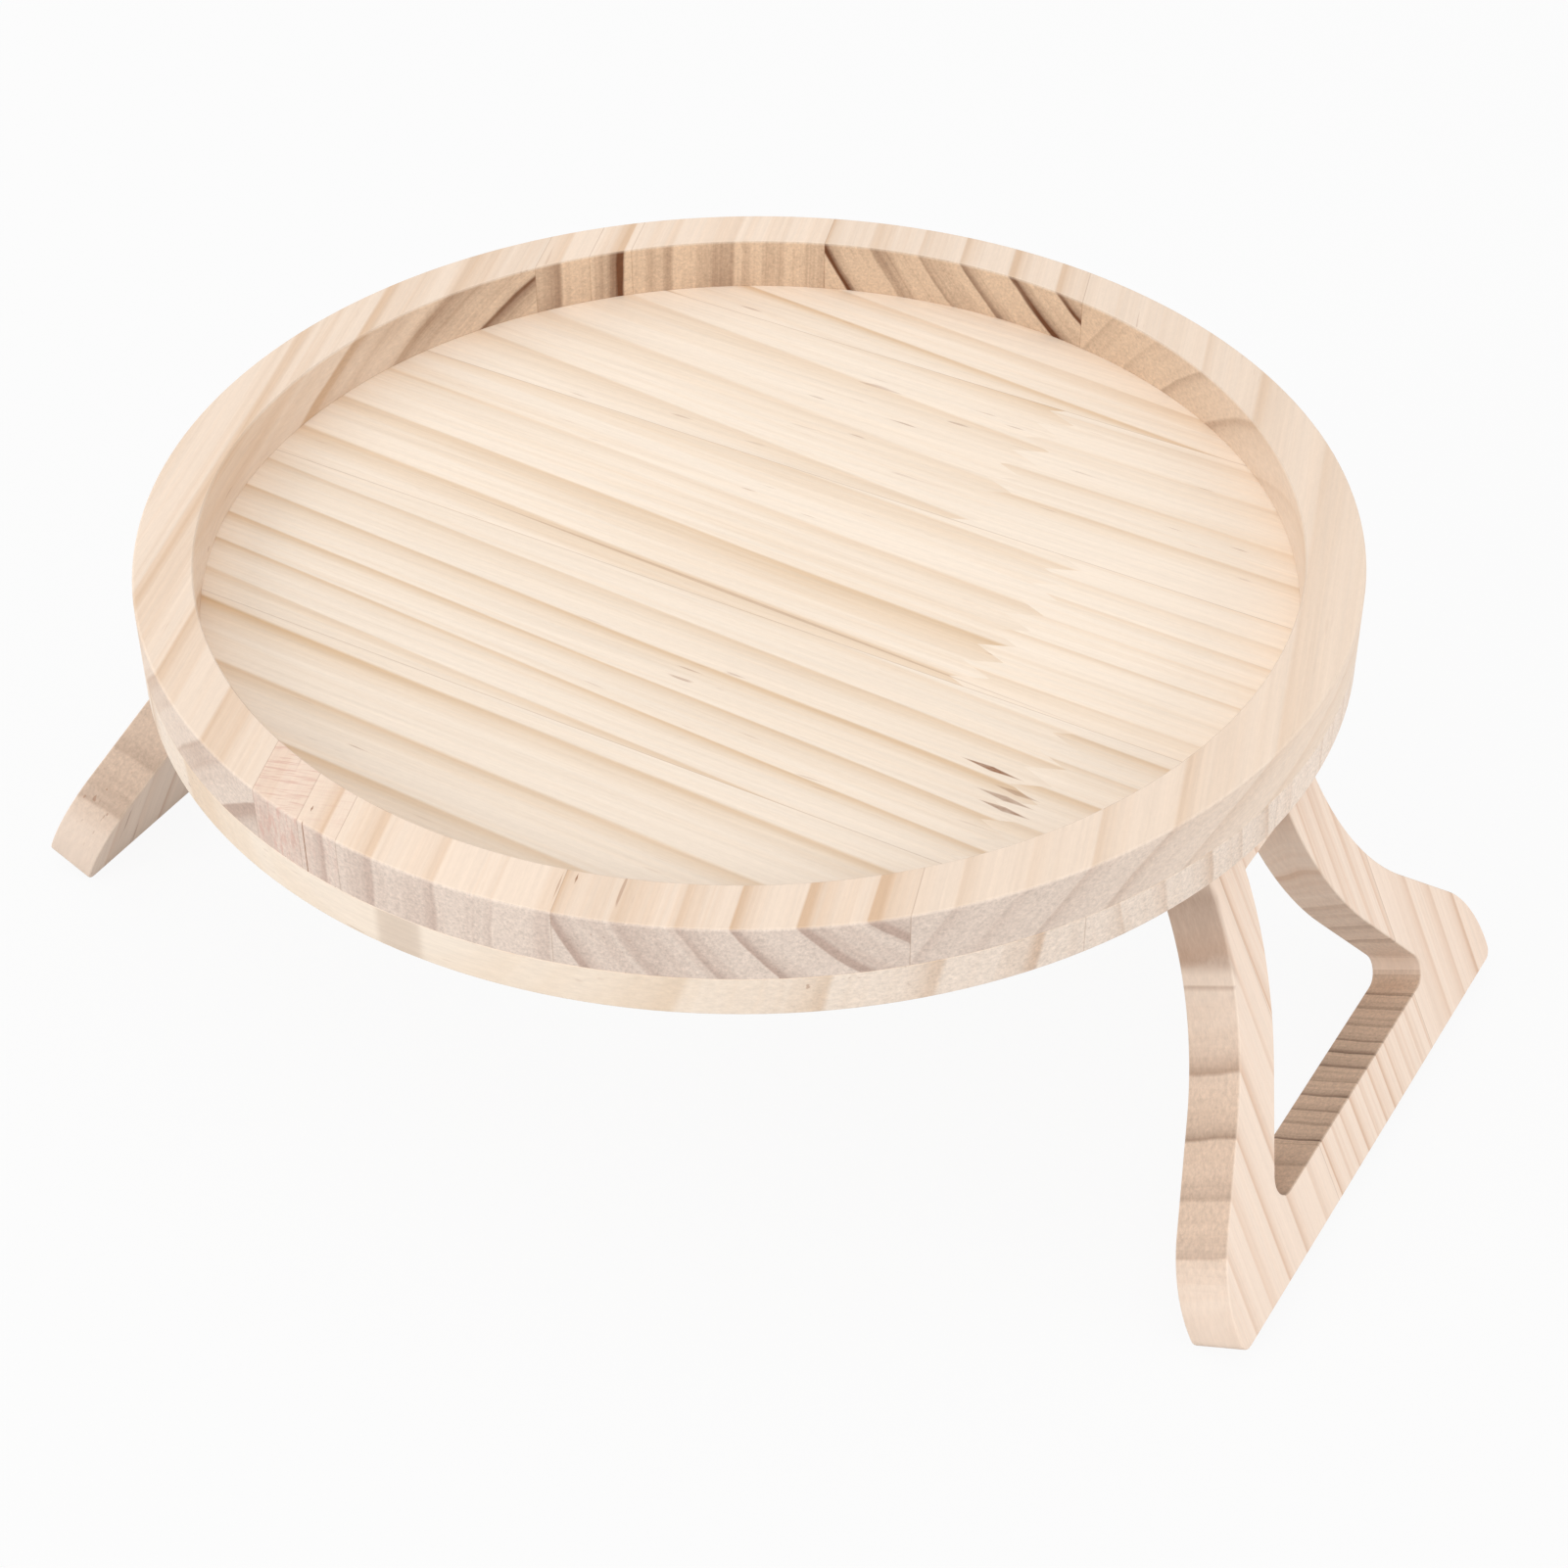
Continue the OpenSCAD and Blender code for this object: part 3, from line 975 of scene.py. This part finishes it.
@dataclass
class LegFrame:
    """One splayed leg, cut from a board with a window through it."""

    side: Side
    tray_radius: float = 0.150
    underside: float = 0.1063
    inset: float = 0.0162
    splay: float = 24.5
    thickness: float = 0.014
    foot_half: float = 0.0795
    neck_half: float = 0.028
    hollow_radius: float = 0.0727
    hollow_height: float = 0.098
    slope: float = 44.0
    toe_height: float = 0.004
    corner: float = 0.003
    member: float = 0.016
    rail: float = 0.0174
    window_top: float = 0.0905
    window_slope: float = 54.0
    window_corner: float = 0.0045
    stop_gap: float = 0.00015
    arris: float = 0.0005
    corner_steps: int = 6
    toe_steps: int = 14
    hollow_steps: int = 24
    window_steps: int = 16
    window_corner_steps: int = 8

    @property
    def hollow_reach(self) -> float:
        """Distance of the hollow's centre from the middle of the leg."""
        return self.neck_half + self.hollow_radius

    @property
    def toe_radius(self) -> float:
        """Radius of the shoulder that the straight side runs into.

        Returns:
            The radius that joins the foot, the straight side and the hollow without a kink.
        """
        turn = math.radians(90 - self.slope)
        run = (self.hollow_reach - self.foot_half) * math.cos(turn)
        rise = (self.hollow_height - self.toe_height) * math.sin(turn)
        return (run + rise - self.hollow_radius) / (1 - math.cos(turn))

    @property
    def blank(self) -> float:
        """Length of the board before its top is cut to the tray."""
        return (self.underside + self.thickness) / math.cos(math.radians(self.splay))

    @property
    def place(self) -> Matrix:
        """The turn and shift that stand the flat board at its place under the tray.

        Returns:
            The matrix from across, up and out of the board into the frame.
        """
        lean = math.radians(self.splay)
        lift = self.thickness * math.sin(lean)
        reach = self.tray_radius - self.inset + (self.underside - lift) * math.tan(lean)
        upright = Matrix.Rotation(math.pi / 2, 4, "Z") @ Matrix.Rotation(math.pi / 2, 4, "X")
        stood = Matrix.Translation((reach, 0, lift)) @ Matrix.Rotation(-lean, 4, "Y") @ upright
        return Matrix.Scale(self.side.value, 4, (1, 0, 0)) @ stood

    def half_face(self) -> bmesh.types.BMesh:
        """Draws half of the leg's face, round half of its window.

        Returns:
            The flat half.
        """
        turn = 90 - self.slope
        toe = self.foot_half - self.toe_radius
        hollow = (self.hollow_reach, self.hollow_height)
        window_radius = self.hollow_radius + self.member
        window_turn = 90 - self.window_slope
        side_x = hollow[0] - window_radius * math.cos(math.radians(window_turn))
        side_y = hollow[1] - window_radius * math.sin(math.radians(window_turn))
        foot_x = side_x + (side_y - self.rail) / math.tan(math.radians(self.window_slope))
        corner_x = foot_x - self.window_corner / math.tan(math.radians(self.window_slope / 2))
        corner_y = self.rail + self.window_corner
        top_turn = math.degrees(math.asin((hollow[1] - self.window_top) / window_radius))
        top_x = hollow[0] - window_radius * math.cos(math.radians(top_turn))
        pencil = Pencil((0.0, 0.0))
        pencil.line(self.foot_half - self.corner, 0.0)
        pencil.arc((self.foot_half - self.corner, self.corner), 90, self.corner_steps)
        pencil.line(self.foot_half, self.toe_height)
        pencil.arc((toe, self.toe_height), turn, self.toe_steps)
        pencil.line(
            hollow[0] - self.hollow_radius * math.cos(math.radians(turn)),
            hollow[1] - self.hollow_radius * math.sin(math.radians(turn)),
        )
        pencil.arc(hollow, -turn, self.hollow_steps)
        pencil.line(self.neck_half, self.blank)
        pencil.line(0.0, self.blank)
        pencil.line(0.0, self.window_top)
        pencil.line(top_x, self.window_top)
        pencil.arc(hollow, window_turn - top_turn, self.window_steps)
        pencil.line(
            corner_x + self.window_corner * math.cos(math.radians(window_turn)),
            corner_y + self.window_corner * math.sin(math.radians(window_turn)),
        )
        pencil.arc((corner_x, corner_y), -(90 + window_turn), self.window_corner_steps)
        pencil.line(0.0, self.rail)
        pencil.line(0.0, 0.0)
        return pencil.close()

    def board(self) -> bpy.types.Object:
        """Saws the leg from its board, bevels its top under the tray and eases its edges.

        Returns:
            The leg.
        """
        bm = self.half_face()
        half = bm.verts[:] + bm.edges[:] + bm.faces[:]
        bmesh.ops.mirror(bm, geom=half, merge_dist=TOUCHING, axis="X")
        made = bmesh.ops.extrude_face_region(bm, geom=bm.faces[:])
        moved = [v for v in made["geom"] if isinstance(v, bmesh.types.BMVert)]
        bmesh.ops.translate(bm, verts=moved, vec=(0, 0, -self.thickness))
        bmesh.ops.transform(bm, matrix=self.place, verts=bm.verts)
        cut = bmesh.ops.bisect_plane(
            bm,
            geom=bm.verts[:] + bm.edges[:] + bm.faces[:],
            plane_co=(0, 0, self.underside - self.stop_gap),
            plane_no=(0, 0, 1),
            clear_outer=True,
        )
        rim = [e for e in cut["geom_cut"] if isinstance(e, bmesh.types.BMEdge)]
        bmesh.ops.edgeloop_fill(bm, edges=rim)
        bmesh.ops.recalc_face_normals(bm, faces=bm.faces)
        ease(bm, sharp_edges(bm), self.arris, Sawn.EASED)
        up_the_leg = (self.place.to_3x3() @ Vector((0, 1, 0))).normalized()
        return new_piece(bm, f"{self.side.word}_leg", up_the_leg)

    def build(self, wood: bpy.types.Material) -> None:
        """Makes and dresses the leg.

        Args:
            wood: The finish of the leg.
        """
        word = self.side.word
        dress(self.board(), wood, f"{word}_leg", f"{word}_leg_frame")


class Row(Enum):
    """Which of a leg's two hinges, as the sign of its Y."""

    FRONT = -1
    REAR = 1


class Hold(Enum):
    """What a row of screws holds its leaves to."""

    TRAY = "tray"
    LEG = "leg"


@dataclass
class ButtHinge:
    """One small butt hinge: the leaf on the tray, the leaf on the leg and the pin."""

    side: Side
    row: Row
    softness: float = 0.00012

    def softened(self, node: str) -> bpy.types.Object:
        """Merges a copy of a part of the frame's hinge and takes the bite off its edges.

        Args:
            node: The part's node.

        Returns:
            The part with softened edges.
        """
        bm = bmesh.new()
        bm.faces.layers.float.new("eased_edge")
        bm.from_mesh(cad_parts[node].data)
        bmesh.ops.remove_doubles(bm, verts=bm.verts, dist=TOUCHING)
        flat = math.radians(FLAT_DEGREES)
        bmesh.ops.dissolve_limit(bm, angle_limit=flat, verts=bm.verts, edges=bm.edges)
        ease(bm, sharp_edges(bm, STEEL_CORNER_DEGREES), self.softness, Sawn.CRISP)
        return new_piece(bm, f"{node}_dressed")

    def build(self, steel: bpy.types.Material, pin: bpy.types.Material) -> None:
        """Makes and dresses the leaves and the pin.

        Args:
            steel: The finish of the leaves.
            pin: The finish of the pin.
        """
        parts = (
            ("tray_leaf", steel, "tray", "hinge_steel"),
            ("leg_leaf", steel, f"{self.side.word}_leg", "hinge_steel"),
            ("pin", pin, "tray", "fastener_steel"),
        )
        for part, finish, body, slot in parts:
            node = f"{self.side.word}_{self.row.name.lower()}_hinge_{part}"
            dress(self.softened(node), finish, body, node)


@dataclass
class ScrewRow:
    """The four countersunk cross-head screws of one side's leaves, in the tray or in the leg."""

    side: Side
    hold: Hold
    head_radius: float = 0.002
    shank_radius: float = 0.0011
    length: float = 0.008
    point: float = 0.0025
    head_height: float = 0.001
    head_steps: int = 28
    slot_half: float = 0.0003
    slot_reach: float = 0.0012
    slot_depth: float = 0.0006
    slot_taper: float = 0.6
    pitch: float = 0.0008
    thread_turns: int = 5
    thread_steps: int = 16
    thread_depth: float = 0.0003
    pivot: tuple[float, float] = (0.116807, 0.1038)
    hinge_y: float = 0.014
    screw_y: float = 0.0075
    screw_x: float = 0.0065
    seat: float = 0.0013
    splay: float = 24.5

    def screw(self) -> bmesh.types.BMesh:
        """Turns one screw with its head at the origin and sinks the cross into the head.

        Returns:
            The screw, its point up the Z axis.
        """
        bm = turned(
            [
                (0.0, 0.0),
                (self.head_radius, 0.0),
                (self.shank_radius, self.head_height),
                (self.shank_radius, self.length - self.point),
                (0.0, self.length),
            ],
            self.head_steps,
        )
        for axis in (Vector((1, 0, 0)), Vector((0, 1, 0))):
            for reach in (-self.slot_reach, -self.slot_half, self.slot_half, self.slot_reach):
                head = [f for f in bm.faces if f.calc_center_median().z < TOUCHING]
                corners = dict.fromkeys(v for f in head for v in f.verts)
                sides = dict.fromkeys(e for f in head for e in f.edges)
                parts = [*corners, *sides, *head]
                bmesh.ops.bisect_plane(bm, geom=parts, plane_co=axis * reach, plane_no=axis)
        cross = [f for f in bm.faces if self.in_cross(f)]
        made = bmesh.ops.extrude_face_region(bm, geom=cross)
        bmesh.ops.delete(bm, geom=cross, context="FACES")
        sunk = [v for v in made["geom"] if isinstance(v, bmesh.types.BMVert)]
        bmesh.ops.translate(bm, verts=sunk, vec=(0, 0, self.slot_depth))
        bmesh.ops.scale(bm, verts=sunk, vec=(self.slot_taper, self.slot_taper, 1))
        self.wind_thread(bm)
        return bm

    def wind_thread(self, bm: bmesh.types.BMesh) -> None:
        """Winds the thread round the shank as a closed ridge.

        Args:
            bm: The screw, with its head at the origin and its point up the Z axis.
        """
        first = self.head_height + 2 * self.thread_depth
        start = Matrix.Translation((self.shank_radius, 0, first))
        tilt = Matrix.Rotation(math.pi / 2, 4, "X") @ Matrix.Rotation(-math.pi / 2, 4, "Z")
        made = bmesh.ops.create_circle(
            bm,
            cap_ends=True,
            segments=3,
            radius=self.thread_depth,
            matrix=start @ tilt,
        )
        corners = made["verts"]
        sides = dict.fromkeys(e for v in corners for e in v.link_edges)
        section = dict.fromkeys(f for v in corners for f in v.link_faces)
        bmesh.ops.spin(
            bm,
            geom=[*corners, *sides, *section],
            cent=(0, 0, 0),
            axis=(0, 0, 1),
            dvec=(0, 0, self.pitch / self.thread_steps),
            angle=2 * math.pi * self.thread_turns,
            steps=self.thread_steps * self.thread_turns,
            use_merge=False,
        )

    def in_cross(self, face: bmesh.types.BMFace) -> bool:
        """Whether a face lies in the cross.

        Args:
            face: A face of the screw.

        Returns:
            True for the faces that the cross sinks.
        """
        middle = face.calc_center_median()
        near, far = sorted((abs(middle.x), abs(middle.y)))
        return middle.z < TOUCHING and near < self.slot_half and far < self.slot_reach

    def build(self, steel: bpy.types.Material) -> None:
        """Sets the four screws in their leaves and dresses them as one piece.

        Args:
            steel: The finish of the screws.
        """
        whole = bmesh.new()
        whole.faces.layers.float.new("eased_edge")
        onto = Matrix.Identity(4)
        if self.hold is Hold.LEG:
            lean = Matrix.Rotation(math.radians(90 - self.splay), 4, "Y")
            onto = lean @ Matrix.Scale(-1, 4, (1, 0, 0))
        flip = Matrix.Scale(self.side.value, 4, (1, 0, 0))
        pattern = bpy.data.meshes.new("screw_pattern")
        one = self.screw()
        one.to_mesh(pattern)
        one.free()
        for row in Row:
            for y in (-self.screw_y, self.screw_y):
                start = len(whole.verts)
                whole.from_mesh(pattern)
                whole.verts.ensure_lookup_table()
                middle = (self.pivot[0], row.value * self.hinge_y, self.pivot[1])
                seat = Matrix.Translation((-self.screw_x, y, self.seat))
                place = flip @ Matrix.Translation(middle) @ onto @ seat
                bmesh.ops.transform(whole, matrix=place, verts=whole.verts[start:])
        bpy.data.meshes.remove(pattern)
        word = self.side.word
        body = "tray" if self.hold is Hold.TRAY else f"{word}_leg"
        node = f"{word}_{self.hold.value}_leaf_screws"
        dress(new_piece(whole, f"{node}_dressed"), steel, body, node)


@dataclass(frozen=True)
class Lamp:
    """A soft square lamp that faces the tray."""

    name: str
    place: Triple
    size: float
    watts: float
    aim: Triple = (0.0, 0.0, 0.08)

    def hang(self) -> None:
        """Adds the lamp to the scene."""
        data = bpy.data.lights.new(self.name, "AREA")
        data.size = self.size
        data.energy = self.watts
        lamp = bpy.data.objects.new(self.name, data)
        lamp.location = self.place
        aim = Vector(self.aim) - Vector(self.place)
        lamp.rotation_mode = "QUATERNION"
        lamp.rotation_quaternion = aim.to_track_quat("-Z", "Y")
        bpy.context.scene.collection.objects.link(lamp)


def seen_directly(g: Graph) -> Socket:
    """Tells what the camera sees, also in a gloss or through glass, from what only lights.

    Args:
        g: The graph of a material or the world.

    Returns:
        1 where it is seen and 0 where it only lights.
    """
    path = g.add("ShaderNodeLightPath", {}).outputs
    seen = g.math("MAXIMUM", path["Is Camera Ray"], path["Is Glossy Ray"])
    return g.math("MAXIMUM", seen, path["Is Transmission Ray"])


@dataclass
class Studio:
    """The camera, the lamps and the pale floor."""

    eye: Triple = (0.3338, -0.5504, 0.5777)
    forward: Triple = (-0.39175, 0.66453, -0.63634)
    roll: float = -0.37
    lens: float = 73.0
    sensor: float = 36.0
    daylight: float = 0.71
    whiteness: float = 0.92
    floor_grey: float = 0.66
    floor_roughness: float = 0.9
    floor_half: float = 4.0
    lamps: tuple[Lamp, ...] = (
        Lamp("key", (-1.6, 0.4, 0.95), 0.9, 3.0),
        Lamp("fill", (1.9, 0.0, 0.55), 1.2, 10.0),
        Lamp("front", (-0.7, -1.75, 0.9), 1.2, 13.5),
        Lamp("overhead", (0.1, -0.4, 2.2), 1.8, 6.0),
    )

    def camera(self) -> None:
        """Sets up the camera at the photograph's viewing angle."""
        data = bpy.data.cameras.new("camera")
        data.lens = self.lens
        data.sensor_width = self.sensor
        camera = bpy.data.objects.new("camera", data)
        ahead = Vector(self.forward).normalized()
        right = ahead.cross(Vector((0, 0, 1))).normalized()
        up = right.cross(ahead)
        turn = math.radians(self.roll)
        across = math.cos(turn) * right + math.sin(turn) * up
        upward = -math.sin(turn) * right + math.cos(turn) * up
        axes = Matrix((across, upward, -ahead)).transposed().to_4x4()
        camera.matrix_world = Matrix.Translation(self.eye) @ axes
        bpy.context.scene.collection.objects.link(camera)
        bpy.context.scene.camera = camera

    def floor(self) -> None:
        """Lays the pale floor, which shows white to the camera and keeps the shadow."""
        bm = bmesh.new()
        bmesh.ops.create_grid(bm, x_segments=1, y_segments=1, size=self.floor_half)
        mesh = bpy.data.meshes.new("floor")
        bm.to_mesh(mesh)
        bm.free()
        floor = bpy.data.objects.new("floor", mesh)
        bpy.context.scene.collection.objects.link(floor)
        made = bpy.data.materials.new("floor")
        made.use_nodes = True
        g = Graph(made.node_tree)
        shader = g.tree.nodes["Principled BSDF"]
        grey = self.floor_grey
        shader.inputs["Base Color"].default_value = (grey, grey, grey, 1)
        shader.inputs["Roughness"].default_value = self.floor_roughness
        shader.inputs["Specular IOR Level"].default_value = 0.0
        white = g.add("ShaderNodeEmission", {"Color": (1, 1, 1, 1), "Strength": 1.0}).outputs[0]
        share = g.math("MULTIPLY", seen_directly(g), self.whiteness)
        mixed = g.add("ShaderNodeMixShader", {0: share, 1: shader.outputs[0], 2: white}).outputs[0]
        g.tree.links.new(mixed, g.tree.nodes["Material Output"].inputs["Surface"])
        mesh.materials.append(made)

    def world(self) -> None:
        """Lights the scene evenly from all sides."""
        world = bpy.data.worlds.new("world")
        world.use_nodes = True
        g = Graph(world.node_tree)
        light = g.math("MULTIPLY_ADD", seen_directly(g), 1.0 - self.daylight, self.daylight)
        backdrop = g.tree.nodes["Background"]
        backdrop.inputs["Color"].default_value = (1, 1, 1, 1)
        g.tree.links.new(light, backdrop.inputs["Strength"])
        bpy.context.scene.world = world

    def build(self) -> None:
        """Sets up the whole studio."""
        self.camera()
        self.world()
        self.floor()
        for lamp in self.lamps:
            lamp.hang()


def main() -> None:
    """Builds the tray, its legs, hinges and screws, and the studio, in order."""
    logging.basicConfig(level=logging.INFO, format="%(name)s: %(message)s")
    bpy.context.scene.view_settings.view_transform = "Standard"
    pine_figure(PineScales())
    pine_tint(PineMarks())
    plated_metal(Plating())
    steel = MetalFinish("hinge_steel", (208, 208, 206), (176, 177, 178)).material()
    screw_steel = MetalFinish("screw_steel", (188, 187, 184), (128, 128, 130)).material()
    RoundTray().build(BOARD_PINE.material(), RING_PINE.material())
    for side in Side:
        leg = LegFrame(side)
        leg.build(leg_pine(side, leg.place).material())
        for row in Row:
            ButtHinge(side, row).build(steel, screw_steel)
        for hold in Hold:
            ScrewRow(side, hold).build(screw_steel)
    Studio().build()


if __name__ == "__main__":
    main()
